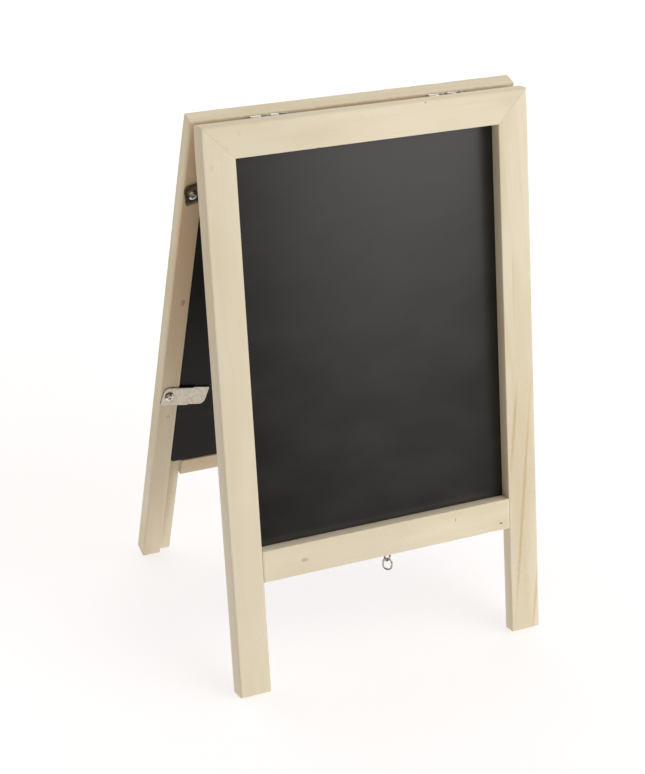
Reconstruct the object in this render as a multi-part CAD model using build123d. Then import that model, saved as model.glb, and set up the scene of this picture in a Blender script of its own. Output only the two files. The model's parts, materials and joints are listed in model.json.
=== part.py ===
"""Double-sided tabletop chalkboard easel.

Two identical rebated pine frames hang back to back from a pair of butt hinges and stand open as an A.
Each frame has two stiles that run down as legs, a mitred top rail, a bottom rail butted between the
stiles, and a chalkboard laid in the rebate and held there by swivelling steel clips. A screw eye with an
oval ring hangs under the front bottom rail.

Every piece is drawn with the easel folded: the hinge pins lie along X through the origin, the front frame
hangs down from there on the -Y side, and Z is up. The open pose is made at the end by turning each frame
about the pins. The written origin is on the table, in the middle of the four feet.
"""

import math
import os

from build123d import *

os.makedirs("parts", exist_ok=True)

# Driving dimensions: millimetres and degrees.
BOARD_WIDTH = 260.0
LEG_LENGTH = 432.0
LEAN = 13.1  # each frame's angle from the vertical

MOULD_WIDTH = 25.0  # across the face
MOULD_DEPTH = 14.5  # face to back
LIP_DEPTH = 10.5  # face to the rebate's floor
REBATE_WIDTH = 10.0
OUTER_ROUND = 2.5
FACE_EASE = 0.8
STEP_EASE = 0.5
FOOT_EASE = 0.5

BOTTOM_RAIL_DROP = 319.0  # leg top to the bottom rail's upper edge

BOARD_THICK = 3.0
BOARD_PLAY = 0.5  # board edge to rebate wall
BOARD_CORNER = 3.0

PIN_TO_FACE = 1.9  # pin axis to each frame's back face
TOP_ABOVE_PIN = 1.2
HINGE_LENGTH = 30.0
HINGE_OFFSET = 71.0  # middle of the board to the middle of each hinge
KNUCKLES = 4
KNUCKLE_GAP = 0.2
LEAF_THICK = 0.9
LEAF_DROP = 9.7  # pin axis to the leaf's lower edge
LEAF_CORNER = 1.0
PIN_RADIUS = 0.97
PIN_FIT = 0.03
CURL_SLIT = 0.25
LEAF_SCREW_X = 9.0
LEAF_SCREW_DROP = 6.0

CLIP_LENGTH = 38.6
CLIP_WIDTH = 17.4
CLIP_THICK = 1.0
CLIP_BIG_ROUND = 4.6
CLIP_SMALL_ROUND = 1.3
CLIP_SCREW_INSET = 5.7  # head end of the clip to its screw
CLIP_JOGGLE_START = 18.2  # screw to the start of the step
CLIP_JOGGLE_RUN = 2.0
CLIP_HOLE_RADIUS = 3.2
CLIP_HOLE_SHIFT = (-0.5, 1.5)  # the oversize hole's centre from the screw
CLIP_PLAY = 0.1
CLIP_SCREW_EDGE = 6.9  # board edge to the clip screws
REAR_CLIP_DROPS = (61.5, 254.5)  # leg top to the rear frame's clip screws
FRONT_CLIP_DROPS = (94.0, 222.0)  # staggered, so the screw heads clear when folded
REAR_LEFT_CLIP_TURNS = (-5.0, 7.0)
REAR_RIGHT_CLIP_TURNS = (12.0, -11.2)
FRONT_LEFT_CLIP_TURNS = (-4.0, 6.0)
FRONT_RIGHT_CLIP_TURNS = (8.0, -5.0)

PAN_HEAD_RADIUS = 3.5
PAN_HEAD_HEIGHT = 2.1
CLIP_SCREW_RADIUS = 1.5
CLIP_SCREW_LENGTH = 12.0
FLAT_HEAD_RADIUS = 2.4
LEAF_SCREW_RADIUS = 1.1
LEAF_SCREW_LENGTH = 10.0

DOWEL_RADIUS = 3.0
DOWEL_LENGTH = 26.0
DOWEL_IN_RAIL = 14.0
DOWEL_SPREAD = 12.0  # between the two dowels of a joint

WEDGE_LEG = 6.0
WEDGE_THICK = 0.6
WEDGE_HEIGHT = 10.0

EYE_X = 1.5
EYE_DEPTH = 9.0  # front face to the eye's shank
EYE_RADIUS = 3.1  # middle of the wire
EYE_WIRE_RADIUS = 0.75
EYE_NECK = 0.6
EYE_SHANK_LENGTH = 11.0
EYE_TURN = 24.0
EYE_GAP = 0.6

RING_WIRE_RADIUS = 0.7
RING_END_RADIUS = 3.4  # middle of the wire
RING_STRAIGHT = 4.3
RING_TURN = -46.0
RING_PLAY = 0.12

# Worked out from the driving dimensions.
HALF_WIDTH = BOARD_WIDTH / 2
FACE_Y = -(PIN_TO_FACE + MOULD_DEPTH)  # the front frame's outer face, folded
BACK_Y = -PIN_TO_FACE
REBATE_Y = FACE_Y + LIP_DEPTH
BOARD_BACK_Y = REBATE_Y + BOARD_THICK
FOOT_Z = TOP_ABOVE_PIN - LEG_LENGTH
RAIL_LOW_Z = TOP_ABOVE_PIN - BOTTOM_RAIL_DROP - MOULD_WIDTH
CLIP_STEP = BACK_Y - BOARD_BACK_Y
LEAN_SIN = math.sin(math.radians(LEAN))
LEAN_COS = math.cos(math.radians(LEAN))
PIN_HEIGHT = -FOOT_Z * LEAN_COS - (PIN_TO_FACE + FOOT_EASE) * LEAN_SIN


def moulding(length):
    """A straight length of the rebated moulding: outer edge on X=0, face on Y=0, running up Z."""
    step_x = MOULD_WIDTH - REBATE_WIDTH
    outline = Polyline(
        (0, 0),
        (MOULD_WIDTH, 0),
        (MOULD_WIDTH, LIP_DEPTH),
        (step_x, LIP_DEPTH),
        (step_x, MOULD_DEPTH),
        (0, MOULD_DEPTH),
        close=True,
    )
    section = make_face(outline)
    rounds = {
        (0, 0): OUTER_ROUND,
        (0, MOULD_DEPTH): OUTER_ROUND,
        (MOULD_WIDTH, 0): FACE_EASE,
        (step_x, MOULD_DEPTH): STEP_EASE,
    }
    for corner, radius in rounds.items():
        vertex = section.vertices().sort_by_distance((*corner, 0))[0]
        section = fillet(vertex, radius)
    return extrude(section, amount=length)


def mitre(piece, corner_x, lean):
    """Keeps what lies below a 45 degree plane that falls inwards from a top corner."""
    plane = Plane(origin=(corner_x, 0, TOP_ABOVE_PIN), x_dir=(0, 1, 0), z_dir=(lean, 0, 1))
    return split(piece, bisect_by=plane, keep=Keep.BOTTOM)


def stile():
    """The left stile: mitred at its top, cut square at the foot."""
    bar = Pos(-HALF_WIDTH, FACE_Y, FOOT_Z) * moulding(LEG_LENGTH)
    foot_edges = bar.faces().sort_by(Axis.Z)[0].edges()
    return mitre(chamfer(foot_edges, FOOT_EASE), -HALF_WIDTH, 1)


def top_rail():
    """The top rail: what the two stile mitres leave of a full-width length."""
    bar = Pos(-HALF_WIDTH, FACE_Y, TOP_ABOVE_PIN) * Rot(0, 90, 0) * moulding(BOARD_WIDTH)
    for side in (-1, 1):
        plane = Plane(
            origin=(side * HALF_WIDTH, 0, TOP_ABOVE_PIN), x_dir=(0, 1, 0), z_dir=(-side, 0, 1)
        )
        bar = split(bar, bisect_by=plane, keep=Keep.TOP)
    return bar


def bottom_rail():
    """The bottom rail, its rebate upwards, butted between the stiles' lips."""
    length = BOARD_WIDTH - 2 * MOULD_WIDTH
    return Pos(length / 2, FACE_Y, RAIL_LOW_Z) * Rot(0, -90, 0) * moulding(length)


def chalkboard():
    """The board, lying on the rebate's floor all round."""
    step_x = HALF_WIDTH - MOULD_WIDTH + REBATE_WIDTH
    top = TOP_ABOVE_PIN - MOULD_WIDTH + REBATE_WIDTH - BOARD_PLAY
    low = RAIL_LOW_Z + MOULD_WIDTH - REBATE_WIDTH + BOARD_PLAY
    blank = RectangleRounded(2 * (step_x - BOARD_PLAY), top - low, BOARD_CORNER)
    flat = Plane(origin=(0, REBATE_Y, (top + low) / 2), x_dir=(1, 0, 0), z_dir=(0, -1, 0))
    return extrude(flat * blank, amount=-BOARD_THICK)


def cross_recess(size, depth):
    """The tapered cross that a driver bit fits, opening upwards at Z=0."""
    slot = Pos(0, 0, -depth / 2) * (Box(size, size * 0.24, depth) + Box(size * 0.24, size, depth))
    return slot & Cone(size * 0.16, size * 0.55, depth, align=(Align.CENTER, Align.CENTER, Align.MAX))


def pan_head_screw():
    """A clip screw: head underside on Z=0, shank downwards, a cross recess in the domed head."""
    dome = (PAN_HEAD_RADIUS**2 + PAN_HEAD_HEIGHT**2) / (2 * PAN_HEAD_HEIGHT)
    ball = Pos(0, 0, PAN_HEAD_HEIGHT - dome) * Sphere(dome)
    head = ball & Pos(0, 0, PAN_HEAD_HEIGHT / 2) * Cylinder(PAN_HEAD_RADIUS, PAN_HEAD_HEIGHT)
    head = head - Pos(0, 0, PAN_HEAD_HEIGHT) * cross_recess(3.6, 1.6)
    return head + wood_screw_shank(CLIP_SCREW_RADIUS, CLIP_SCREW_LENGTH)


def flat_head_screw():
    """A hinge screw without its cross recess: countersunk head flush with Z=0, shank downwards."""
    sink = FLAT_HEAD_RADIUS - LEAF_SCREW_RADIUS
    low = (Align.CENTER, Align.CENTER, Align.MAX)
    head = Cone(LEAF_SCREW_RADIUS, FLAT_HEAD_RADIUS, sink, align=low)
    return head + wood_screw_shank(LEAF_SCREW_RADIUS, LEAF_SCREW_LENGTH)


def wood_screw_shank(radius, length):
    """A plain shank from Z=0 down to a cone point."""
    low = (Align.CENTER, Align.CENTER, Align.MAX)
    point = 2 * radius
    shank = Cylinder(radius, length - point, align=low)
    return shank + Pos(0, 0, point - length) * Cone(0.1, radius, point, align=low)


def on_back_face(x, z, out):
    """The place on the front frame's back face, `out` proud of it, with Z pointing off the wood."""
    return Plane(origin=(x, BACK_Y + out, z), x_dir=(1, 0, 0), z_dir=(0, 1, 0))


def hinge_leaf():
    """A leaf for the front frame, its middle on X=0: it carries every second knuckle."""
    plate = Box(HINGE_LENGTH, LEAF_THICK, LEAF_DROP, align=(Align.CENTER, Align.MIN, Align.MAX))
    low_corners = plate.edges().filter_by(Axis.Y).group_by(Axis.Z)[0]
    leaf = Pos(0, BACK_Y, 0) * fillet(low_corners, LEAF_CORNER)
    pitch = HINGE_LENGTH / KNUCKLES
    for index in range(KNUCKLES):
        middle = (index + 0.5) * pitch - HINGE_LENGTH / 2
        place = Pos(middle, 0, 0) * Rot(0, 90, 0)
        if index % 2:
            leaf -= place * Cylinder(PIN_TO_FACE + KNUCKLE_GAP, pitch + KNUCKLE_GAP)
        else:
            leaf += place * Cylinder(PIN_TO_FACE, pitch - KNUCKLE_GAP)
    leaf -= Rot(0, 90, 0) * Cylinder(PIN_RADIUS + PIN_FIT, HINGE_LENGTH + 1)
    slit = Box(HINGE_LENGTH, PIN_TO_FACE, CURL_SLIT, align=(Align.CENTER, Align.MIN, Align.CENTER))
    leaf -= Rot(-70, 0, 0) * slit
    for hole in at_leaf_screws(flat_head_screw()):
        leaf -= hole
    return leaf


def at_leaf_screws(shape):
    """The shape at both screw places of a leaf whose middle is on X=0."""
    places = [
        on_back_face(side * LEAF_SCREW_X, -LEAF_SCREW_DROP, LEAF_THICK) for side in (-1, 1)
    ]
    return [place.location * shape for place in places]


def at_hinges(shapes):
    """The shapes moved to the left and to the right hinge."""
    return [Pos(side * HINGE_OFFSET, 0, 0) * shape for side in (-1, 1) for shape in shapes]


def hinge_pin():
    """A pin with its middle on X=0, its ends slightly rounded."""
    pin = Rot(0, 90, 0) * Cylinder(PIN_RADIUS, HINGE_LENGTH)
    return fillet(pin.edges().filter_by(GeomType.CIRCLE), 0.3)


def clip():
    """A flat steel clip, screw axis on the origin, head part on Z=0, tail towards +X and one step lower."""
    head_end = -CLIP_SCREW_INSET
    tail_end = CLIP_LENGTH - CLIP_SCREW_INSET
    step_end = CLIP_JOGGLE_START + CLIP_JOGGLE_RUN
    side = Polyline(
        (head_end, 0),
        (CLIP_JOGGLE_START, 0),
        (step_end, -CLIP_STEP),
        (tail_end, -CLIP_STEP),
        (tail_end, CLIP_THICK - CLIP_STEP),
        (step_end, CLIP_THICK - CLIP_STEP),
        (CLIP_JOGGLE_START, CLIP_THICK),
        (head_end, CLIP_THICK),
        close=True,
    )
    strip = extrude(Plane.XZ * make_face(side), amount=CLIP_WIDTH / 2, both=True)
    hole = Pos(*CLIP_HOLE_SHIFT, 0) * Cylinder(CLIP_HOLE_RADIUS, 4 * CLIP_THICK)
    return (strip & clip_blank()) - hole


def clip_blank():
    """The strip's outline from above: two opposite corners well rounded, the other two barely."""
    middle = CLIP_LENGTH / 2 - CLIP_SCREW_INSET
    outline = Pos(middle, 0) * Rectangle(CLIP_LENGTH, CLIP_WIDTH)
    for x_side, y_side in ((-1, 1), (1, -1), (-1, -1), (1, 1)):
        corner = (middle + x_side * CLIP_LENGTH / 2, y_side * CLIP_WIDTH / 2, 0)
        radius = CLIP_SMALL_ROUND if x_side == y_side else CLIP_BIG_ROUND
        outline = fillet(outline.vertices().sort_by_distance(corner)[0], radius)
    return extrude(outline, amount=4 * CLIP_THICK, both=True)


def clip_places(drops, left_turns, right_turns):
    """Where each clip's screw stands on the folded front frame: name, x, z and the clip's turn."""
    screw_x = HALF_WIDTH - CLIP_SCREW_EDGE
    places = []
    for level, drop, left, right in zip(("upper", "lower"), drops, left_turns, right_turns):
        places.append((f"{level}_left", -screw_x, TOP_ABOVE_PIN - drop, left))
        places.append((f"{level}_right", screw_x, TOP_ABOVE_PIN - drop, 180 + right))
    return places


def corner_wedge():
    """A V-shaped mitre nail, its spine on the origin and its legs astride the +X direction."""
    leg = Box(WEDGE_LEG, WEDGE_THICK, WEDGE_HEIGHT, align=(Align.MIN, Align.CENTER, Align.MAX))
    return Rot(0, 0, 40) * leg + Rot(0, 0, -40) * leg


def corner_wedges():
    """One mitre nail in each top corner, driven in from the back face across the mitre."""
    wedges = []
    middle = (MOULD_WIDTH - REBATE_WIDTH) / 2
    for side in (-1, 1):
        place = on_back_face(side * (HALF_WIDTH - middle), TOP_ABOVE_PIN - middle, 0)
        wedges.append(place.location * Rot(0, 0, 45 if side < 0 else 135) * corner_wedge())
    return wedges


def rail_dowels():
    """Two dowels at each end of the bottom rail, half in the rail and half in the stile."""
    dowels = []
    joint_x = HALF_WIDTH - MOULD_WIDTH
    for side in (-1, 1):
        for shift in (-0.5, 0.5):
            middle = side * (joint_x - DOWEL_IN_RAIL + DOWEL_LENGTH / 2)
            z = RAIL_LOW_Z + MOULD_WIDTH / 2 + shift * DOWEL_SPREAD
            peg = Rot(0, 90, 0) * Cylinder(DOWEL_RADIUS, DOWEL_LENGTH)
            peg = chamfer(peg.edges().filter_by(GeomType.CIRCLE), 0.5)
            dowels.append(Pos(middle, FACE_Y + LIP_DEPTH / 2, z) * peg)
    return dowels


def eye_centre_z():
    return RAIL_LOW_Z - EYE_NECK - EYE_RADIUS - EYE_WIRE_RADIUS


def screw_eye():
    """The eye under the front bottom rail: a wire loop, not quite closed, on a shank."""
    loop = Rot(90, 0, 0) * Torus(EYE_RADIUS, EYE_WIRE_RADIUS)
    gap = Pos(0.8 * EYE_RADIUS, 0, 0.6 * EYE_RADIUS) * Rot(0, -35, 0) * Box(3, 3, EYE_GAP)
    length = EYE_NECK + EYE_SHANK_LENGTH + EYE_WIRE_RADIUS
    shank = Cylinder(EYE_WIRE_RADIUS, length, align=(Align.CENTER, Align.CENTER, Align.MIN))
    eye = loop - gap + Pos(0, 0, EYE_RADIUS) * shank
    return Pos(EYE_X, FACE_Y + EYE_DEPTH, eye_centre_z()) * Rot(0, 0, EYE_TURN) * eye


def oval_ring():
    """The oval ring hanging straight down, the middle of its top wire on the origin."""
    reach = 4 * RING_END_RADIUS
    upper_half = Box(reach, reach, reach, align=(Align.CENTER, Align.CENTER, Align.MIN))
    end = (Rot(90, 0, 0) * Torus(RING_END_RADIUS, RING_WIRE_RADIUS)) & upper_half
    ring = Pos(0, 0, RING_STRAIGHT / 2) * end
    ring += Pos(0, 0, -RING_STRAIGHT / 2) * Rot(0, 180, 0) * end
    for sign in (-1, 1):
        ring += Pos(sign * RING_END_RADIUS, 0, 0) * Cylinder(RING_WIRE_RADIUS, RING_STRAIGHT)
    return Pos(0, 0, -RING_END_RADIUS - RING_STRAIGHT / 2) * ring


def opened(shape, is_rear):
    """Turns a folded piece of one frame out to its leaning place above the table."""
    front = Pos(0, 0, PIN_HEIGHT) * Rot(-LEAN, 0, 0) * shape
    return Rot(0, 0, 180) * front if is_rear else front


def open_point(x, y, z):
    """The standing place of a point of the folded front frame."""
    return (x, y * LEAN_COS + z * LEAN_SIN, PIN_HEIGHT - y * LEAN_SIN + z * LEAN_COS)


def eye_low_point():
    """The middle of the standing eye's wire at its lowest place, and the wire's direction there."""
    turn = math.radians(EYE_TURN)
    roll = math.atan2(math.sin(turn) * LEAN_SIN, LEAN_COS)  # from the shank's line to the lowest place
    out = EYE_RADIUS * math.sin(roll)
    x = EYE_X + out * math.cos(turn)
    y = FACE_Y + EYE_DEPTH + out * math.sin(turn)
    low = open_point(x, y, eye_centre_z() - EYE_RADIUS * math.cos(roll))
    heading = math.atan2(math.tan(turn), LEAN_COS)
    return low, (math.cos(heading), math.sin(heading), 0)


def hanging_ring():
    """The ring on the lowest part of the eye, where it hangs by its own weight."""
    (x, y, z), _ = eye_low_point()
    rise = EYE_WIRE_RADIUS + RING_WIRE_RADIUS + RING_PLAY
    return Pos(x, y, z + rise) * Rot(0, 0, RING_TURN) * oval_ring()


def frame_nodes(side_name, clip_list):
    """Every piece of one frame, folded, as node name to solid or list of solids."""
    left = stile()
    right = mirror(left, about=Plane.YZ)
    pieces = {
        "left_stile": left,
        "right_stile": right,
        "top_rail": top_rail(),
        "bottom_rail": bottom_rail(),
    }
    fasteners = {
        "corner_wedges": corner_wedges(),
        "rail_dowels": rail_dowels(),
        "clip_screws": [
            on_back_face(x, z, CLIP_THICK + 2 * CLIP_PLAY).location * pan_head_screw()
            for _, x, z, _ in clip_list
        ],
        "hinge_screws": at_hinges(at_leaf_screws(flat_head_screw())),
    }
    for name in pieces:
        for group in fasteners.values():
            for fastener in group:
                pieces[name] = pieces[name] - fastener
    fasteners["hinge_screws"] = at_hinges(at_leaf_screws(flat_head_screw() - cross_recess(2.6, 0.9)))
    pieces["chalkboard"] = chalkboard()
    for name, side in (("left_hinge_leaf", -1), ("right_hinge_leaf", 1)):
        pieces[name] = Pos(side * HINGE_OFFSET, 0, 0) * hinge_leaf()
    for name, x, z, turn in clip_list:
        place = on_back_face(x, z, CLIP_PLAY).location
        pieces[f"{name}_clip"] = place * Rot(0, 0, turn) * clip()
    pieces.update(fasteners)
    return {f"{side_name}_{name}": shape for name, shape in pieces.items()}


def write(name, shape):
    """Writes one node: a single solid, or a group of separate ones."""
    solids = shape if isinstance(shape, list) else [shape]
    bodies = [solid for piece in solids for solid in piece.solids()]
    export_step(bodies[0] if len(bodies) == 1 else Compound(children=bodies), f"parts/{name}.step")


def main():
    rear_clips = clip_places(REAR_CLIP_DROPS, REAR_LEFT_CLIP_TURNS, REAR_RIGHT_CLIP_TURNS)
    front_clips = clip_places(FRONT_CLIP_DROPS, FRONT_LEFT_CLIP_TURNS, FRONT_RIGHT_CLIP_TURNS)
    front = frame_nodes("front", front_clips)
    rear = frame_nodes("rear", rear_clips)

    eye = screw_eye()
    front["front_bottom_rail"] = front["front_bottom_rail"] - eye
    front["screw_eye"] = eye
    for name, side in (("left_hinge_pin", -1), ("right_hinge_pin", 1)):
        front[name] = Pos(side * HINGE_OFFSET, 0, 0) * hinge_pin()

    for is_rear, nodes in ((False, front), (True, rear)):
        for name, shape in nodes.items():
            group = shape if isinstance(shape, list) else [shape]
            write(name, [opened(piece, is_rear) for piece in group])
    write("ring", hanging_ring())


main()
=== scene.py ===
"""Looks of a double-sided tabletop chalkboard easel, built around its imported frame.

Most pieces are drawn in millimetres on a folded frame: the hinge pins lie along X through the origin, the
frame hangs down from them on the -Y side and Z is up. PLACE then turns them out to where the frame stands.
"""

import json
import math
import random

import bmesh
import bpy
from mathutils import Matrix, Vector
from mathutils.noise import noise


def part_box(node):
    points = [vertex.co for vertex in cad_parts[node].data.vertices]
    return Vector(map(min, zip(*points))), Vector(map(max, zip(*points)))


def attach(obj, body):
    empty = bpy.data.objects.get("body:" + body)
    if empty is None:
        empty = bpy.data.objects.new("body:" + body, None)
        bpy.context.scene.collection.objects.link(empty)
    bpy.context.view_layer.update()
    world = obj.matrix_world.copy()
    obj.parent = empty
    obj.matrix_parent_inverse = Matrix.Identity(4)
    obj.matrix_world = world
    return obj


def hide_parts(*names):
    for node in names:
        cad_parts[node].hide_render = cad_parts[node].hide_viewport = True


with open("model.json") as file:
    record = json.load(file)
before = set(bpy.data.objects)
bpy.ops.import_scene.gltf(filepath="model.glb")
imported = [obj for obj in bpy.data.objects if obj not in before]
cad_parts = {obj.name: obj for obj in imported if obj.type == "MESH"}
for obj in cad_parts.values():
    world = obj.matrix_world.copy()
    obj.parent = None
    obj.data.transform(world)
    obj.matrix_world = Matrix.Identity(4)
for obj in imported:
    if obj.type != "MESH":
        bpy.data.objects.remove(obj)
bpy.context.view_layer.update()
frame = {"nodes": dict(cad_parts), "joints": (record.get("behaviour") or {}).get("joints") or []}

MM = 0.001
SIDES = ("front", "rear")
HANDS = {"left": -1, "right": 1}

# Sizes are in millimetres. The moulding is measured across its face, then down from it.
MOULD_WIDTH = 25.0
MOULD_DEPTH = 14.5
LIP_DEPTH = 10.5
STEP_ACROSS = 15.0
OUTER_ROUND = 1.6
BACK_ROUND = 1.1
TOP_ROUND = 2.5  # both outer edges of a top rail
TOP_FADE = 14.0  # below the top, how soon a stile loses the top rail's radius
FACE_EASE = 0.8
STEP_EASE = 0.5
LIP_EASE = 0.25
SECTION_STEP = 2.0  # between a moulding's drawn sections
EDGE_WEAR = 0.1  # how far a long edge's radius wanders, as a share

BOARD_CORNER = 3.0
BOARD_EASE = 0.3

CLIP_WIDTH = 17.4
CLIP_LENGTH = 38.6
CLIP_THICK = 1.0
CLIP_BIG_ROUND = 4.6
CLIP_SMALL_ROUND = 1.3
CLIP_INSET = 5.7  # head end of the clip to its screw
CLIP_STEP_START = 18.2
CLIP_STEP_RUN = 2.0
CLIP_BEND = 1.2  # how far each bend of the step is spread
CLIP_HOLE_RADIUS = 3.2
CLIP_HOLE_SHIFT = (-0.5, 1.5)
CLIP_PLAY = 0.1
SHADED_CLIP = "rear_upper_right"  # its steel is painted darker: painted shade, as it hangs in the shadow between the frames
SHEET_EASE = 0.28

PAN_HEAD_RADIUS = 3.5
PAN_HEAD_HEIGHT = 2.1
PAN_HEAD_RIM = 0.25  # height of the crown's edge
PAN_RECESS = (1.95, 1.5)  # reach of an arm, depth
PAN_SHANK = (1.5, 12.0)  # radius, length
PAN_UNDER = ((PAN_HEAD_RADIUS - 0.03, 0.1), (PAN_HEAD_RADIUS - 0.2, 0.0), (1.2, 0.0))  # radius, height
FLAT_HEAD_RADIUS = 2.32
FLAT_RECESS = (1.3, 0.9)
FLAT_SHANK = (1.1, 8.5)
FLAT_UNDER = ((FLAT_HEAD_RADIUS, -0.12), (1.1, -1.3), (0.85, -1.4))
RECESS_ARM = 0.26  # half an arm's width, as a share of its reach
RECESS_WALL = 0.16  # how wide the sloping walls are
RECESS_SLOPE = 1.25  # how many reaches out its floor would come up to the head
THREAD_STEP = 0.2
THREAD_ROOT = 0.74  # as a share of the crest's radius
THREAD_WIDE = 0.55  # as a share of the pitch
POINT_LONG, POINT_TIP = 2.2, 0.06  # a shank's point: its length in radii, its tip's share of the radius
CLIP_SCREW_TURNS = (12, 57, 33, 96, 8, 71, 40, 5)  # degrees, front frame's four first
LEAF_SCREW_X = 9.0
LEAF_SCREW_DROP = 6.0

HINGE_LENGTH = 30.0
KNUCKLE_RADIUS = 1.9
KNUCKLES = 4
KNUCKLE_GAP = 1.0
LEAF_DROP = 9.7  # the pin's middle to a leaf's lower edge
LEAF_THICK = 0.9
LEAF_CORNER = 1.0
NOTCH_CORNER, TAB_CORNER = 0.25, 0.2
LEAF_EASE = 0.14
LEAF_HOLE_PLAY = 0.1
CURL_TURN = 296.0
CURL_CUTS = 26
PIN_RADIUS = 0.97
PIN_END = ((0.25, 0.0), (0.62, 0.05), (0.86, 0.16), (0.97, 0.34), (1.0, 0.6))  # share of radius, way in
HINGE_PLAY = 1.85  # how far a leaf's notch stays below the pin's middle

EYE_RADIUS = 3.1
EYE_WIRE = 0.75
EYE_NECK = 1.5  # top of the loop to the end of the straight shank
EYE_PULL = 2.6  # how gently the shank bends into the loop
EYE_START, EYE_SWEEP = 118, 305  # where the loop leaves the bend and how far it runs, degrees
EYE_LAP = 0.4  # of the plain shank into the thread, and of the straight into the bend
EYE_THREAD, EYE_PITCH = 9.4, 1.0
EYE_SWELL = 1.12  # the thread's crest over the wire's radius
EYE_TIP, EYE_TIP_CUT = 0.015, 0.35  # the share of the wire that narrows at its end, and by how much
RING_RADIUS = 3.5
RING_STRAIGHT = 2.8
RING_WIRE = 0.7
RING_ENDS, RING_GAP = 63, 0.12  # where its two ends meet, degrees below level, and how far apart they are

NAIL_LEG = 6.0
NAIL_THICK = 0.6
NAIL_DEEP = 10.0
NAIL_PROUD = 0.05
NAIL_EASE = 0.08
NAIL_SPREAD = 40  # each leg off the nail's middle line, degrees

BRAD_LONG, BRAD_WIDE, BRAD_CORNER = 2.3, 0.84, 0.3
BRAD_THICK, BRAD_PROUD, BRAD_EASE = 0.5, 0.03, 0.1
BRAD_FROM_END, BRAD_RISE = 7.7, 6.2
BRAD_TURN = -8  # degrees

AS_DRAWN = Matrix.Identity(4)


# Where things are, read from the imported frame.


def joint(name):
    return next(j for j in frame["joints"] if j["name"] == name)


def frame_places():
    """For each side, the matrix from folded millimetres to the standing frame's metres."""
    board = frame["nodes"]["front_chalkboard"].data
    face = max(board.polygons, key=lambda polygon: polygon.area)
    lean = math.asin(abs(face.normal.z))
    pins = Matrix.Translation(joint("fold")["pos_m"])
    front = pins @ Matrix.Rotation(-lean, 4, "X") @ Matrix.Scale(MM, 4)
    half_turn = Matrix.Rotation(math.pi, 4, "Z")
    return {"front": front, "rear": half_turn @ front}


PLACE = frame_places()


def folded_points(node):
    """A CAD node's corners in its own frame's folded millimetres."""
    back = PLACE["rear" if node.startswith("rear") else "front"].inverted()
    return [back @ v.co for v in frame["nodes"][node].data.vertices]


def folded_box(node):
    points = folded_points(node)
    low = Vector([min(p[i] for p in points) for i in range(3)])
    high = Vector([max(p[i] for p in points) for i in range(3)])
    return low, high


def heading(points):
    """The angle about Z of the line that points spread along, seen from above."""
    n = len(points)
    mx, my = sum(p.x for p in points) / n, sum(p.y for p in points) / n
    xx = sum((p.x - mx) ** 2 for p in points)
    yy = sum((p.y - my) ** 2 for p in points)
    xy = sum((p.x - mx) * (p.y - my) for p in points)
    return 0.5 * math.atan2(2 * xy, xx - yy)


# Mesh building.


def loft(bm, rings):
    """Skins closed rings of points and closes the two ends. Returns the end faces."""
    rows = [[bm.verts.new(p) for p in ring] for ring in rings]
    count = len(rows[0])
    for low, high in zip(rows, rows[1:]):
        for i in range(count):
            j = (i + 1) % count
            bm.faces.new((low[i], low[j], high[j], high[i]))
    return [bm.faces.new(rows[0][::-1]), bm.faces.new(rows[-1])]


def tube(bm, path, radius_at, segments=20):
    """A round wire along a list of points; radius_at takes the share of the way along."""
    count = len(path)
    side = Vector((0, 1, 0))
    rings = []
    for i, p in enumerate(path):
        before, after = path[max(i - 1, 0)], path[min(i + 1, count - 1)]
        along = (after - before).normalized()
        side = (side - along * side.dot(along)).normalized()
        other = along.cross(side)
        r = radius_at(i / (count - 1))
        angles = [2 * math.pi * k / segments for k in range(segments)]
        rings.append([p + (side * math.cos(a) + other * math.sin(a)) * r for a in angles])
    loft(bm, rings)


def finish_mesh(bm, name, side, place, materials, sharp=35.0):
    """Makes the object that stands where `place` puts the mesh."""
    bmesh.ops.remove_doubles(bm, verts=bm.verts, dist=1e-4)
    bmesh.ops.recalc_face_normals(bm, faces=bm.faces)
    mesh = bpy.data.meshes.new(name)
    bm.to_mesh(mesh)
    bm.free()
    mesh.transform(PLACE[side] @ place if side else place)
    for material in materials:
        mesh.materials.append(material)
    mesh.shade_smooth()
    mesh.set_sharp_from_angle(angle=math.radians(sharp))
    piece = bpy.data.objects.new(name, mesh)
    bpy.context.scene.collection.objects.link(piece)
    return piece


def fit(piece, body, slot, *nodes):
    """Puts a piece on its body and hides the CAD nodes that it stands for; slot, its finish, is not used."""
    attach(piece, body)
    if nodes:
        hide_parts(*nodes)


# Node materials.


def node(tree, kind, inputs=None, **settings):
    made = tree.nodes.new("ShaderNode" + kind)
    for key, value in settings.items():
        setattr(made, key, value)
    for key, value in (inputs or {}).items():
        socket = made.inputs[key]
        if isinstance(value, bpy.types.NodeSocket):
            tree.links.new(value, socket)
        else:
            socket.default_value = value
    return made


def new_material(name):
    material = bpy.data.materials.new(name)
    material.use_nodes = True
    tree = material.node_tree
    tree.nodes.clear()
    shader = node(tree, "BsdfPrincipled")
    output = node(tree, "OutputMaterial")
    tree.links.new(shader.outputs[0], output.inputs[0])
    return material, tree, shader


def math_node(tree, operation, a, b=0.0, c=0.0):
    return node(tree, "Math", {0: a, 1: b, 2: c}, operation=operation).outputs[0]


def vector_node(tree, operation, a, b=(0, 0, 0)):
    made = node(tree, "VectorMath", {0: a, 1: b}, operation=operation)
    return made.outputs["Value" if operation in ("LENGTH", "DOT_PRODUCT") else 0]


def noise_node(tree, vector, scale, detail=2.0, rough=0.5):
    """Noise from 0 to 1; scale is a number, or one per axis, in turns per millimetre."""
    if not isinstance(scale, (int, float)):
        vector, scale = vector_node(tree, "MULTIPLY", vector, scale), 1.0
    inputs = {"Vector": vector, "Scale": scale, "Detail": detail, "Roughness": rough}
    return node(tree, "TexNoise", inputs).outputs[0]


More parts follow.
